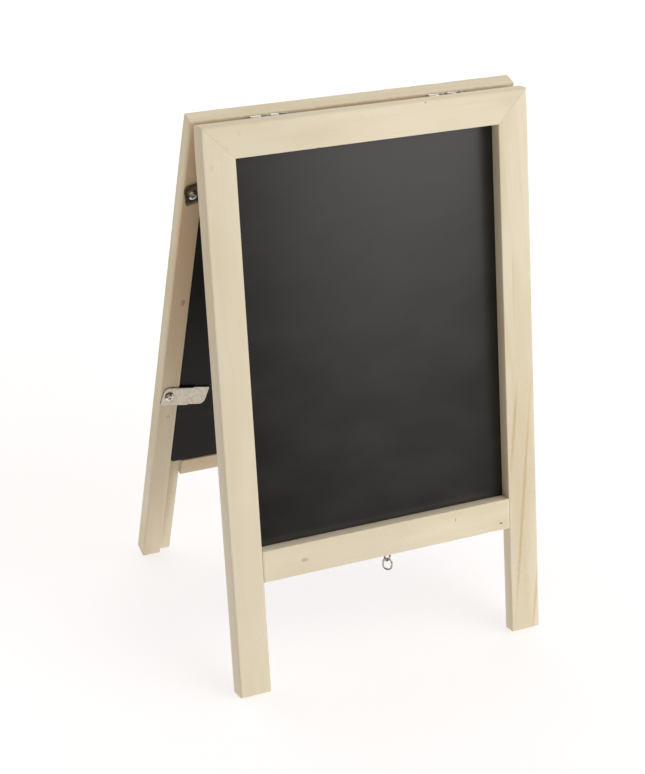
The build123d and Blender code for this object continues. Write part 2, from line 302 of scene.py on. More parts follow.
def mix_node(tree, factor, a, b):
    made = node(tree, "Mix", data_type="RGBA")
    for key, value in ((0, factor), (6, a), (7, b)):
        if isinstance(value, bpy.types.NodeSocket):
            tree.links.new(value, made.inputs[key])
        else:
            made.inputs[key].default_value = value
    return made.outputs[2]


def range_node(tree, value, low, high, to_low=0.0, to_high=1.0):
    inputs = {"Value": value, 1: low, 2: high, 3: to_low, 4: to_high}
    return node(tree, "MapRange", inputs, interpolation_type="SMOOTHSTEP").outputs[0]


def bump_node(tree, height, distance, strength=1.0):
    inputs = {"Height": height, "Distance": distance, "Strength": strength}
    return node(tree, "Bump", inputs).outputs[0]


def rgb(r, g, b):
    """A colour given by its screen values of 0 to 255."""

    def linear(v):
        v /= 255
        return v / 12.92 if v <= 0.04045 else ((v + 0.055) / 1.055) ** 2.4

    return (linear(r), linear(g), linear(b), 1.0)


PINE_PALE = rgb(221, 210, 186)
PINE_CREAM = rgb(214, 202, 174)
PINE_LATE = rgb(192, 166, 124)
PINE_END = rgb(196, 172, 134)
PINE_FIBRE = rgb(202, 184, 150)
SMUDGE = rgb(120, 104, 84)
KNOT = rgb(150, 112, 74)
BLUSH = rgb(206, 170, 150)
# Painted shade: a warm brown where light bounced between the wooden faces tints the shade.
WARM_SHADE = rgb(212, 166, 112)
# Painted shade: a greyer pine laid over the left parts of the front frame, which the light from the right
# reaches less.
PINE_SHADED = rgb(196, 186, 164)
# Painted light: a paler pine laid on the bottom rail's upper edge, where the light falls.
PINE_LIT = rgb(248, 238, 218)


def marked(tree, raw, colour, at, size, strength, shade, lean=0.0):
    """The colour with one ragged mark on it, round `at` in the piece's own millimetres."""
    away = vector_node(tree, "SUBTRACT", raw, at)
    if lean:
        along = node(tree, "SeparateXYZ", {0: away}).outputs[2]
        sideways = node(tree, "CombineXYZ", {0: math_node(tree, "MULTIPLY", along, lean)}).outputs[0]
        away = vector_node(tree, "SUBTRACT", away, sideways)
    away = vector_node(tree, "DIVIDE", away, size)
    ragged = math_node(tree, "MULTIPLY_ADD", noise_node(tree, raw, (0.9, 0.9, 0.3), 3), 0.8, -0.4)
    away = math_node(tree, "ADD", vector_node(tree, "LENGTH", away), ragged)
    share = range_node(tree, away, 0.3, 1.0, strength, 0.0)
    return mix_node(tree, share, colour, shade)


def growth_rings(tree, turned, grain, pith, spacing):
    """How far into a dark growth ring a point is: the rings wander, and fade in patches."""
    warp = vector_node(tree, "MULTIPLY", grain, (0.03, 0.03, 0.006))
    warp = node(tree, "TexNoise", {"Vector": warp, "Scale": 1.0, "Detail": 3.0}).outputs[1]
    warp = vector_node(tree, "SUBTRACT", warp, (0.5, 0.5, 0.5))
    warp = vector_node(tree, "MULTIPLY", warp, (14.0, 14.0, 0.0))
    centred = vector_node(tree, "SUBTRACT", turned, (pith[0], pith[1], 0.0))
    flat = vector_node(tree, "MULTIPLY", vector_node(tree, "ADD", centred, warp), (1, 1, 0))
    turns = math_node(tree, "DIVIDE", vector_node(tree, "LENGTH", flat), spacing)
    phase = math_node(tree, "FRACT", turns)
    rise = range_node(tree, phase, 0.45, 0.86)
    fall = range_node(tree, phase, 0.87, 1.0, 1.0, 0.0)
    ring = math_node(tree, "MULTIPLY", rise, fall)
    patchy = range_node(tree, noise_node(tree, grain, (0.05, 0.05, 0.008), 3), 0.35, 0.7, 0.25, 1.0)
    return math_node(tree, "MULTIPLY", ring, patchy)


def pine(name, seed, pith, spacing, figure, slant, marks=(), end=False):
    """Bare pine. Growth rings run round a pith line at `pith` (across, depth) millimetres from the piece.

    figure is how strongly the rings show, slant how many degrees the grain runs off the piece's length, and
    each mark is its (across, depth, along), its half sizes, its strength, its colour and how far it leans.
    """
    material, tree, shader = new_material(name)
    raw = node(tree, "Attribute", attribute_name="grain").outputs["Vector"]
    turned = node(tree, "Mapping", {"Vector": raw, "Rotation": (0, math.radians(slant), 0)}).outputs[0]
    grain = vector_node(tree, "ADD", turned, (31.0 * seed, 17.0 * seed, 400.0 * seed))
    ring = growth_rings(tree, turned, grain, pith, spacing)
    fibre = noise_node(tree, grain, (2.4, 2.4, 0.035), 4, 0.65)
    streak = noise_node(tree, grain, (0.42, 0.42, 0.008), 3)
    tone = noise_node(tree, grain, (0.05, 0.05, 0.012), 2)
    colour = mix_node(tree, range_node(tree, tone, 0.35, 0.65), PINE_PALE, PINE_CREAM)
    share = math_node(tree, "MULTIPLY", ring, min(1.0, figure * (2.0 if end else 1.0)))
    colour = mix_node(tree, share, colour, PINE_LATE)
    colour = mix_node(tree, range_node(tree, streak, 0.5, 0.78, 0.0, 0.16), colour, PINE_FIBRE)
    colour = mix_node(tree, range_node(tree, fibre, 0.5, 0.8, 0.0, 0.12), colour, PINE_FIBRE)
    if end:
        colour = mix_node(tree, 0.55, colour, PINE_END)
    for mark in marks:
        colour = marked(tree, raw, colour, *mark)
    tree.links.new(colour, shader.inputs["Base Color"])

    tree.links.new(range_node(tree, fibre, 0.3, 0.75, 0.5, 0.68), shader.inputs["Roughness"])
    height = math_node(tree, "MULTIPLY_ADD", ring, 0.5, fibre)
    tree.links.new(bump_node(tree, height, 0.00007, 0.6), shader.inputs["Normal"])
    shader.inputs["Specular IOR Level"].default_value = 0.5
    return material


def millimetres(tree):
    """The piece's rest position in millimetres."""
    where = node(tree, "TexCoord").outputs["Object"]
    return vector_node(tree, "MULTIPLY", where, (1000, 1000, 1000))


def blackboard(name, seed):
    """Matt blackboard paint: roller stipple, a haze of old chalk and a few specks."""
    material, tree, shader = new_material(name)
    raw = node(tree, "Attribute", attribute_name="grain").outputs["Vector"]
    where = vector_node(tree, "ADD", raw, (130.0 * seed, 70.0 * seed, 0.0))
    haze = noise_node(tree, where, (0.018, 0.03, 0.02), 5, 0.6)
    wipe = noise_node(tree, where, (0.012, 0.16, 0.16), 4, 0.6)
    speck = noise_node(tree, where, 1.7, 1)
    stipple = noise_node(tree, where, 1.1, 3, 0.6)
    colour = mix_node(tree, range_node(tree, haze, 0.35, 0.7), rgb(27, 25, 24), rgb(34, 32, 31))
    colour = mix_node(tree, range_node(tree, wipe, 0.5, 0.8, 0.0, 0.35), colour, rgb(40, 38, 37))
    colour = mix_node(tree, range_node(tree, speck, 0.78, 0.86, 0.0, 0.35), colour, rgb(120, 116, 110))
    tree.links.new(colour, shader.inputs["Base Color"])
    tree.links.new(range_node(tree, haze, 0.3, 0.7, 0.3, 0.34), shader.inputs["Roughness"])
    tree.links.new(bump_node(tree, stipple, 0.00003, 0.5), shader.inputs["Normal"])
    # The back of the board shines less.
    depth = node(tree, "SeparateXYZ", {0: raw}).outputs[2]
    shine = range_node(tree, depth, 1.2, 1.8, 0.5, 0.15)
    tree.links.new(shine, shader.inputs["Specular IOR Level"])
    return material


def steel(name, pale, dull, rough, scratch=(0.9, 0.9, 0.9)):
    """Plated steel: cloudy plating, fine scratches and a slightly uneven sheet."""
    material, tree, shader = new_material(name)
    where = millimetres(tree)
    cloud = noise_node(tree, where, 0.35, 3, 0.6)
    fine = noise_node(tree, where, scratch, 4, 0.7)
    colour = mix_node(tree, range_node(tree, cloud, 0.35, 0.7), pale, dull)
    tree.links.new(colour, shader.inputs["Base Color"])
    both = math_node(tree, "MULTIPLY_ADD", fine, 0.5, math_node(tree, "MULTIPLY", cloud, 0.5))
    tree.links.new(range_node(tree, both, 0.3, 0.7, rough - 0.06, rough + 0.1), shader.inputs["Roughness"])
    tree.links.new(bump_node(tree, both, 0.00003, 0.5), shader.inputs["Normal"])
    shader.inputs["Metallic"].default_value = 1.0
    return material


def beech(name):
    """Bare beech for the dowels, fine dark flecks along the peg."""
    material, tree, shader = new_material(name)
    where = millimetres(tree)
    fleck = noise_node(tree, where, (0.12, 1.8, 1.8), 3, 0.6)
    cloud = noise_node(tree, where, 0.2, 3)
    colour = mix_node(tree, range_node(tree, cloud, 0.3, 0.7), rgb(214, 180, 138), rgb(201, 164, 120))
    colour = mix_node(tree, range_node(tree, fleck, 0.55, 0.75, 0.0, 0.5), colour, rgb(150, 110, 72))
    tree.links.new(colour, shader.inputs["Base Color"])
    tree.links.new(range_node(tree, fleck, 0.3, 0.7, 0.5, 0.65), shader.inputs["Roughness"])
    return material


# Wood.


def moulding_outline(outer_front, outer_back, inset=0.0):
    """The L-section as points (across, depth), its corners eased, shrunk by `inset`."""
    corners = (
        ((0, 0), outer_front, 8),
        ((MOULD_WIDTH, 0), FACE_EASE, 4),
        ((MOULD_WIDTH, LIP_DEPTH), LIP_EASE, 3),
        ((STEP_ACROSS, LIP_DEPTH), 0.0, 0),
        ((STEP_ACROSS, MOULD_DEPTH), STEP_EASE, 3),
        ((0, MOULD_DEPTH), outer_back, 8),
    )
    points = []
    for i, (at, radius, steps) in enumerate(corners):
        corner = Vector(at)
        if not steps:
            points.append(corner)
            continue
        back = (Vector(corners[i - 1][0]) - corner).normalized()
        ahead = (Vector(corners[(i + 1) % len(corners)][0]) - corner).normalized()
        centre = corner + (back + ahead) * radius
        for k in range(steps + 1):
            a = 0.5 * math.pi * k / steps
            points.append(centre - (ahead * math.cos(a) + back * math.sin(a)) * radius)
    shrunk = []
    for i, p in enumerate(points):
        step = (points[(i + 1) % len(points)] - points[i - 1]).normalized()
        shrunk.append(p + Vector((-step.y, step.x)) * inset)
    return shrunk


JOINT_END = ((0.0, 0.13), (0.13, 0.0))  # distance from the end, how far the section is shrunk there
FOOT_END = ((0.0, 0.5), (0.12, 0.24), (0.32, 0.07), (0.6, 0.0))


def stations(length, ends):
    """Where a moulding's sections stand along it, and how far each is shrunk."""
    inner = int(length / SECTION_STEP)
    middle = [(k * length / inner, 0.0) for k in range(1, inner)]
    return [*ends[0], *middle, *((length - d, shrink) for d, shrink in reversed(ends[1]))]


def moulding(name, side, seed, span, place, ends, materials, rounds):
    """A length of moulding. span(across) gives its two ends; place(along, across, depth) a folded point.

    rounds(distance from the finish end) gives the radii of its front and back outer edges.
    """
    chance = random.Random(seed)
    start, finish = span(0.0)
    length = finish - start
    # Where each dent in the front outer edge is, how far it reaches and how deep it is.
    dents = [(chance.uniform(0, length), chance.uniform(2, 6), chance.uniform(0.1, 0.5)) for _ in range(6)]
    bm = bmesh.new()
    grain = bm.verts.layers.float_vector.new("grain")
    rings, coords = [], []
    for along, shrink in stations(length, ends):
        share = along / length
        worn = [EDGE_WEAR * noise(Vector((along * 0.045, 7.3 * seed, k))) for k in (0.0, 50.0)]
        dent = sum(deep * math.exp(-(((along - at) / wide) ** 2)) for at, wide, deep in dents)
        front, back = rounds(length - along)
        section = moulding_outline(front * (1 + worn[0]) + dent, back * (1 + worn[1]), shrink)
        ring, coord = [], []
        for across, depth in section:
            low, high = span(across)
            at = low + (high - low) * share
            ring.append(Vector(place(at, across, depth)))
            coord.append(Vector((across, depth, at)))
        rings.append(ring)
        coords.extend(coord)
    caps = loft(bm, rings)
    bm.verts.ensure_lookup_table()
    for vertex, coord in zip(bm.verts, coords):
        vertex[grain] = coord
    for cap in caps:
        cap.material_index = 1
    return finish_mesh(bm, name, side, AS_DRAWN, materials, sharp=50)


def stile_rounds(drop):
    """The radii of a stile's outer edges, `drop` below its top."""
    share = min(1.0, drop / TOP_FADE)
    return [TOP_ROUND + (radius - TOP_ROUND) * share for radius in (OUTER_ROUND, BACK_ROUND)]


def wood_piece(side, part, span, place, ends, rounds):
    """One moulding of a frame, in its own wood."""
    key = f"{side}_{part}"
    piece = moulding(key + "_pine", side, WOOD[key]["seed"], span, place, ends, wood_pair(key), rounds)
    fit(piece, f"{side}_frame", "pine", key)


def wood_pieces():
    """The four mouldings of each frame."""
    for side in SIDES:
        low, high = folded_box(f"{side}_left_stile")
        top_low, top_high = folded_box(f"{side}_top_rail")
        rail_low, rail_high = folded_box(f"{side}_bottom_rail")
        face, foot, top = low.y, low.z, high.z
        for hand, sign in HANDS.items():
            edge = sign * max(abs(low.x), abs(high.x))
            wood_piece(
                side,
                hand + "_stile",
                lambda u: (foot, top - u),
                lambda at, u, t: (edge - sign * u, face + t, at),
                (FOOT_END, JOINT_END),
                stile_rounds,
            )
        wood_piece(
            side,
            "top_rail",
            lambda u: (top_low.x + u, top_high.x - u),
            lambda at, u, t: (at, face + t, top_high.z - u),
            (JOINT_END, JOINT_END),
            lambda _: (TOP_ROUND, TOP_ROUND),
        )
        wood_piece(
            side,
            "bottom_rail",
            lambda u: (rail_low.x, rail_high.x),
            lambda at, u, t: (at, face + t, rail_low.z + u),
            (JOINT_END, JOINT_END),
            lambda _: (OUTER_ROUND, BACK_ROUND),
        )


# Each moulding's looks. Its marks are darker growth bands, grey smudges and dents, and painted light and
# shade: a painted highlight on the bottom rail's lit edge, painted shade over the left of the front frame,
# and warm painted shade on the left stile's side, on faces inside the frames, in the gap and in the rebate.
WOOD = {
    "front_left_stile": dict(
        seed=1,
        pith=(-46, 60),
        spacing=9.0,
        figure=0.1,
        slant=0.3,
        marks=(
            # Painted shade over the left stile's face.
            ((12, 0, -210), (60, 60, 420), 0.45, PINE_SHADED),
            # Warm painted shade on the left stile's outer side.
            ((0, 8, -60), (3, 12, 170), 0.12, WARM_SHADE),
            ((6.5, 0, -28.3), (2.6, 3, 3.4), 0.11, SMUDGE),
        ),
    ),
    "front_right_stile": dict(
        seed=2,
        pith=(60, 18),
        spacing=11.0,
        figure=0.14,
        slant=-3.5,
        marks=(
            ((14, 0, -300), (16, 60, 130), 0.5, PINE_FIBRE),
            ((19.0, 0, -262), (2.0, 9, 48), 0.6, PINE_LATE, -0.105),
            ((12.6, 0, -326), (2.0, 9, 118), 0.65, PINE_LATE, -0.096),
            ((3.7, 0, -408), (1.6, 9, 40), 0.5, PINE_LATE, -0.11),
            ((16.0, 0, -150), (1.0, 6, 44), 0.3, PINE_LATE),
        ),
    ),
    "front_top_rail": dict(
        seed=3,
        pith=(12, 90),
        spacing=10.0,
        figure=0.07,
        slant=0.4,
        marks=(
            # Painted shade over the left half of the top rail.
            ((12, 0, -120), (60, 60, 150), 0.36, PINE_SHADED),
            ((2.2, 0, 45.1), (0.9, 3, 0.9), 0.8, KNOT),
            ((7.9, 0, -101.5), (3.4, 3, 1.8), 0.11, SMUDGE),
            ((17.3, 0, -111.5), (2.8, 3, 3.0), 0.1, SMUDGE),
            ((11.5, 0, -118.7), (2.2, 3, 2.8), 0.1, SMUDGE),
            ((24.6, 0, -41.4), (0.8, 2, 0.9), 0.7, SMUDGE),
        ),
    ),
    "front_bottom_rail": dict(
        seed=4,
        pith=(-30, 70),
        spacing=10.0,
        figure=0.08,
        slant=-0.4,
        marks=(
            # Painted shade over the left part of the bottom rail.
            ((12, 0, -50), (60, 60, 110), 0.42, PINE_SHADED),
            # Painted highlight on the rail's upper edge at the opening.
            ((25, 6, 0), (0.8, 9, 500), 0.9, PINE_LIT),
            ((17.2, 0, 57.3), (2.0, 2, 0.55), 0.8, SMUDGE),
            ((11.7, 0, -71.1), (1.7, 3, 4.6), 0.45, SMUDGE),
            ((17.3, 0, -1.9), (1.0, 2, 3.0), 0.3, BLUSH),
            ((13.1, 0, 9.9), (0.8, 2, 3.4), 0.3, BLUSH),
        ),
    ),
    "rear_left_stile": dict(seed=5, pith=(70, 40), spacing=8.0, figure=0.2, slant=0.5),
    "rear_right_stile": dict(
        seed=6,
        pith=(-50, 75),
        spacing=9.0,
        figure=0.14,
        slant=-0.3,
        marks=(
            # Warm painted shade on the upper back face, inside the frames.
            ((11.0, 14.5, -90), (26, 7, 230), 0.5, WARM_SHADE),
            # Painted shade: a darker strip on the lip along the rebate's step, where the step shades it.
            ((17.5, 10.5, -365), (5, 3, 85), 0.5, PINE_LATE),
            ((8, 14.5, -390), (20, 3.4, 130), 0.22, BLUSH),
            ((9.9, 14.5, -160.5), (2.4, 3, 4.5), 0.6, KNOT),
            ((8.1, 14.5, -275.3), (2.4, 3, 2.2), 0.35, SMUDGE),
            ((0, 3.7, -330.1), (2, 0.9, 1.4), 0.5, SMUDGE),
            ((0, 8.1, -338.4), (2, 0.8, 1.2), 0.5, SMUDGE),
        ),
    ),
    "rear_top_rail": dict(
        seed=7,
        pith=(10, -70),
        spacing=8.0,
        figure=0.12,
        slant=0.2,
        # Painted shade: a dark strip along the back top edge, in the gap between the frames.
        marks=(((0.6, 14.5, 0), (4, 1.9, 500), 0.6, KNOT),),
    ),
    "rear_bottom_rail": dict(
        seed=8,
        pith=(-36, 58),
        spacing=8.0,
        figure=0.14,
        slant=0.6,
        # Warm painted shade on the back face, inside the frames.
        marks=(((6, 14.5, 80), (30, 7, 160), 0.3, WARM_SHADE),),
    ),
}


def wood_pair(key):
    """A moulding's two materials: its long faces, and its cut ends without marks."""
    looks = WOOD[key]
    return pine(f"pine_{key}", **looks), pine(f"pine_end_{key}", **{**looks, "marks": (), "end": True})


# Sheet: a flat blank with eased edges, cut and bent.


def arc_points(centre, radius, start, turn, steps):
    """Points on an arc, angles in degrees."""
    angles = [math.radians(start + turn * k / steps) for k in range(steps + 1)]
    return [(centre[0] + radius * math.cos(a), centre[1] + radius * math.sin(a)) for a in angles]


def circle(centre, radius, count=24):
    return arc_points(centre, radius, 0, 360 - 360 / count, count - 1)


def rounded_outline(corners):
    """An outline anticlockwise from (x, y, radius) corners."""
    points = []
    for i, (x, y, radius) in enumerate(corners):
        corner = Vector((x, y))
        if not radius:
            points.append((x, y))
            continue
        back = (Vector(corners[i - 1][:2]) - corner).normalized()
        ahead = (Vector(corners[(i + 1) % len(corners)][:2]) - corner).normalized()
        centre = corner + (back + ahead) * radius
        steps = 5
        for k in range(steps + 1):
            a = 0.5 * math.pi * k / steps
            p = centre - (ahead * math.cos(a) + back * math.sin(a)) * radius
            points.append((p.x, p.y))
    return points


def blank(outline, holes, thick, ease):
    """A flat plate from 0 to thick with every edge eased."""
    bm = bmesh.new()
    for loop in [outline, *holes]:
        verts = [bm.verts.new((x, y, 0.0)) for x, y in loop]
        for a, b in zip(verts, verts[1:] + verts[:1]):
            bm.edges.new((a, b))
    bmesh.ops.triangle_fill(bm, use_beauty=True, edges=bm.edges[:], normal=(0, 0, 1))
    grown = bmesh.ops.extrude_face_region(bm, geom=bm.faces[:])
    lifted = [g for g in grown["geom"] if isinstance(g, bmesh.types.BMVert)]
    bmesh.ops.translate(bm, verts=lifted, vec=(0, 0, thick))
    bmesh.ops.recalc_face_normals(bm, faces=bm.faces)
    bm.normal_update()
    rims = [e for e in bm.edges if len(e.link_faces) == 2 and e.calc_face_angle() > math.radians(80)]
    bmesh.ops.bevel(bm, geom=rims, offset=ease, segments=2, profile=0.5, affect="EDGES", clamp_overlap=True)
    return bm


def cut(bm, axis, places):
    """Cuts every face at these places along an axis, so that the sheet can bend there."""
    for at in places:
        point, normal = [0, 0, 0], [0, 0, 0]
        point[axis], normal[axis] = at, 1
        bmesh.ops.bisect_plane(
            bm, geom=bm.verts[:] + bm.edges[:] + bm.faces[:], dist=1e-5, plane_co=point, plane_no=normal
        )


def boards():
    """Each frame's board, lying in the rebate."""
    for side in SIDES:
        low, high = folded_box(f"{side}_chalkboard")
        r = BOARD_CORNER
        corners = [(low.x, low.z, r), (high.x, low.z, r), (high.x, high.z, r), (low.x, high.z, r)]
        bm = blank(rounded_outline(corners), [], high.y - low.y, BOARD_EASE)
        grain = bm.verts.layers.float_vector.new("grain")
        for v in bm.verts:
            v[grain] = Vector((v.co.x, v.co.y, v.co.z))
            v.co = Vector((v.co.x, low.y + v.co.z, v.co.y))
        material = blackboard(f"blackboard_{side}", SIDES.index(side) + 1)
        piece = finish_mesh(bm, f"{side}_board", side, AS_DRAWN, [material])
        fit(piece, f"{side}_frame", "blackboard", f"{side}_chalkboard")


def off_wood(x, y, z, turn):
    """The place at (x, z), height y, of a piece whose Z points off the back of the wood."""
    axes = Matrix(((1, 0, 0), (0, 0, 1), (0, -1, 0))).to_4x4()
    return Matrix.Translation((x, y, z)) @ axes @ Matrix.Rotation(turn, 4, "Z")


def step_height(x, drop):
    """How far down the clip's sheet has gone at x: two smooth bends, one step."""
    share = (x - CLIP_STEP_START + CLIP_BEND / 2) / (CLIP_STEP_RUN + CLIP_BEND)
    share = min(1.0, max(0.0, share))
    return drop * share * share * (3 - 2 * share)


def clip_turn(points, screw):
    """The clip's turn about its screw: that of the narrowest box round the frame's own clip."""
    spots = [(p.x - screw.x, p.z - screw.z) for p in points]
    tail_x = sum(x for x, _ in spots) / len(spots)

    def width(angle):
        s, c = math.sin(angle), math.cos(angle)
        across = [z * c - x * s for x, z in spots]
        return max(across) - min(across)

    around = 0.0 if tail_x > 0 else math.pi
    # Every twentieth of a degree up to 45 off straight across.
    turns = [around + math.radians(k / 20) for k in range(-900, 901)]
    return min(turns, key=width)


def clip_sheet(drop):
    """A clip with its screw on the origin and its tail along X, stepping down by `drop`."""
    wide, tail = CLIP_WIDTH / 2, CLIP_LENGTH - CLIP_INSET
    big, small = CLIP_BIG_ROUND, CLIP_SMALL_ROUND
    corners = [(-CLIP_INSET, -wide, small), (tail, -wide, big), (tail, wide, small), (-CLIP_INSET, wide, big)]
    hole = circle(CLIP_HOLE_SHIFT, CLIP_HOLE_RADIUS)
    bm = blank(rounded_outline(corners), [hole], CLIP_THICK, SHEET_EASE)
    run = CLIP_STEP_RUN + CLIP_BEND
    cut(bm, 0, [CLIP_STEP_START - CLIP_BEND / 2 + k * run / 10 for k in range(11)])
    for v in bm.verts:
        v.co.z += CLIP_PLAY - step_height(v.co.x, drop)
    return bm


def clips():
    """The eight swivelling clips."""
    for side in SIDES:
        wood_back = folded_box(f"{side}_left_stile")[1].y
        board_back = folded_box(f"{side}_chalkboard")[1].y
        for level in ("upper", "lower"):
            for hand in HANDS:
                key = f"{side}_{level}_{hand}"
                screw = PLACE[side].inverted() @ Vector(joint(key + "_swivel")["pos_m"])
                turn = clip_turn(folded_points(key + "_clip"), screw)
                place = off_wood(screw.x, wood_back, screw.z, -turn)
                bm = clip_sheet(wood_back - board_back)
                plating = [STEEL["shaded_clip" if key == SHADED_CLIP else "clip"]]
                piece = finish_mesh(bm, key + "_clip_plate", side, place, plating, sharp=40)
                fit(piece, key + "_clip", "clip_steel", key + "_clip")


def lathe_ring(radius, height, segments):
    angles = [2 * math.pi * k / segments for k in range(segments)]
    return [Vector((radius * math.cos(a), radius * math.sin(a), height)) for a in angles]


def threads(bm, radius, length, top=0.0, pitch=1.3, segments=20):
    """A threaded shank with a point, from `top` down Z."""
    rings = []
    steps = int(length / THREAD_STEP)
    for k in range(steps + 1):
        z = top - length * k / steps
        taper = min(1.0, (length - (top - z)) / (POINT_LONG * radius) + POINT_TIP)
        ring = []
        for i in range(segments):
            a = 2 * math.pi * i / segments
            turn = (z / pitch + i / segments) % 1.0
            crest = max(0.0, 1 - abs(2 * turn - 1) / THREAD_WIDE)
            r = radius * (THREAD_ROOT + (1 - THREAD_ROOT) * crest) * taper
            ring.append(Vector((r * math.cos(a), r * math.sin(a), z)))
        rings.append(ring)
    loft(bm, rings)


def recess(x, y, reach, deep):
    """How deep a cross recess is at a point of a screw head: sloping walls, deepest in the middle."""
    arm = RECESS_ARM * reach
    inside = max(min(arm - abs(y), reach - abs(x)), min(arm - abs(x), reach - abs(y)))
    wall = min(1.0, max(0.0, inside / RECESS_WALL + 0.5))
    return wall * min(deep, deep * RECESS_SLOPE * (1 - math.hypot(x, y) / (RECESS_SLOPE * reach)))


def screw(radius, height_at, cross, under, shank):
    """A screw along Z, its head up: height_at(share of the radius) is the head's top.

    cross is its recess's reach and depth, under the (radius, height) points of the head's underside from
    the rim in, and shank the shank's radius and length.
    """
    bm = bmesh.new()
    segments = 72
    shares = [0.02] + [k / 26 for k in range(1, 24)] + [0.92, 0.95, 0.975, 0.99, 1.0]
    rings = []
    for share in shares:
        ring = lathe_ring(radius * share, height_at(share), segments)
        rings.append([p - Vector((0, 0, recess(p.x, p.y, *cross))) for p in ring])
    rings += [lathe_ring(r, z, segments) for r, z in under]
    loft(bm, rings)
    threads(bm, *shank, top=under[-1][1] + 0.15)
    return bm


def pan_top(share):
    """A pan head: a flat crown that turns down steeply at the rim."""
    return PAN_HEAD_RIM + (PAN_HEAD_HEIGHT - PAN_HEAD_RIM) * (1 - share**3.0) ** 0.55


def clip_screws():
    """A pan-head screw through each clip."""
    seat = CLIP_THICK + 2 * CLIP_PLAY
    for side in SIDES:
        wood_back = folded_box(f"{side}_left_stile")[1].y
        for i, (level, hand) in enumerate((a, b) for a in ("upper", "lower") for b in HANDS):
            key = f"{side}_{level}_{hand}"
            spot = PLACE[side].inverted() @ Vector(joint(key + "_swivel")["pos_m"])
            bm = screw(PAN_HEAD_RADIUS, pan_top, PAN_RECESS, PAN_UNDER, PAN_SHANK)
            turn = math.radians(CLIP_SCREW_TURNS[i + 4 * SIDES.index(side)])
            place = off_wood(spot.x, wood_back + seat, spot.z, turn)
            piece = finish_mesh(bm, key + "_clip_screw", side, place, [STEEL["screw"]], sharp=50)
            fit(piece, f"{side}_frame", "screw_steel", f"{side}_clip_screws")


def leaf(x_middle):
    """One hinge leaf: a blank with two tabs, its tabs curled round the pin."""
    half, pitch, gap = HINGE_LENGTH / 2, HINGE_LENGTH / KNUCKLES, KNUCKLE_GAP / 2
    neutral = KNUCKLE_RADIUS - LEAF_THICK / 2
    drop = LEAF_DROP
    notch, tip = drop - HINGE_PLAY, drop + neutral * math.radians(CURL_TURN)
    corners = [
        (-half, 0, LEAF_CORNER),
        (half, 0, LEAF_CORNER),
        (half, notch, NOTCH_CORNER),
        (pitch - gap, notch, 0),
        (pitch - gap, tip, TAB_CORNER),
        (gap, tip, TAB_CORNER),
        (gap, notch, 0),
        (gap - pitch, notch, 0),
        (gap - pitch, tip, TAB_CORNER),
        (-half, tip, TAB_CORNER),
    ]
    hole_radius = FLAT_HEAD_RADIUS + LEAF_HOLE_PLAY
    holes = [circle((x, drop - LEAF_SCREW_DROP), hole_radius) for x in (-LEAF_SCREW_X, LEAF_SCREW_X)]
    made = blank(rounded_outline(corners), holes, LEAF_THICK, LEAF_EASE)
    cut(made, 1, [drop + (tip - drop) * k / CURL_CUTS for k in range(CURL_CUTS)])
    for v in made.verts:
        x, along, thick = v.co
        if along <= drop:
            v.co = (x_middle + x, thick - KNUCKLE_RADIUS, along - drop)
        else:
            a, r = (along - drop) / neutral, KNUCKLE_RADIUS - thick
            v.co = (x_middle + x, -r * math.cos(a), r * math.sin(a))
    return made


def hinges():
    """Two butt hinges: a leaf on each frame, two countersunk screws in each leaf."""
    for side in SIDES:
        for hand, sign in HANDS.items():
            low, high = folded_box(f"{side}_{hand}_hinge_leaf")
            middle = (low.x + high.x) / 2
            key = f"{side}_{hand}_hinge"
            # The rear leaf's darker steel is painted shade on its knuckles.
            plating = [STEEL[f"{side}_hinge"]]
            piece = finish_mesh(leaf(middle), key + "_leaf_plate", side, AS_DRAWN, plating, sharp=40)
            fit(piece, f"{side}_frame", "hinge_steel", key + "_leaf")
            for i, shift in enumerate((-LEAF_SCREW_X, LEAF_SCREW_X)):
                bm = screw(FLAT_HEAD_RADIUS, lambda share: 0.0, FLAT_RECESS, FLAT_UNDER, FLAT_SHANK)
                # Each screw stopped at its own turn.
                turn = math.radians(37 * i + 71 * sign + 13 * SIDES.index(side))
                place = off_wood(middle + shift, low.y + LEAF_THICK, -LEAF_SCREW_DROP, turn)
                piece = finish_mesh(bm, f"{key}_screw_{i + 1}", side, place, [STEEL["screw"]], sharp=50)
                fit(piece, f"{side}_frame", "screw_steel", f"{side}_hinge_screws")


def hinge_pins():
    """A plain rod with rounded ends through each hinge's knuckles."""
    for hand in HANDS:
        low, high = folded_box(f"{hand}_hinge_pin")
        bm = bmesh.new()
        half, r = (high.x - low.x) / 2, PIN_RADIUS
        profile = [(r * w, -half + d) for w, d in PIN_END]
        profile += [(r * w, half - d) for w, d in reversed(PIN_END)]
        loft(bm, [lathe_ring(radius, along, 32) for radius, along in profile])
        place = Matrix.Translation(((low.x + high.x) / 2, 0, 0)) @ Matrix.Rotation(math.pi / 2, 4, "Y")
        # The dark nail steel paints the shade in the gaps between the knuckles.
        piece = finish_mesh(bm, f"{hand}_hinge_rod", "front", place, [STEEL["nail"]])
        fit(piece, "front_frame", "hinge_steel", f"{hand}_hinge_pin")


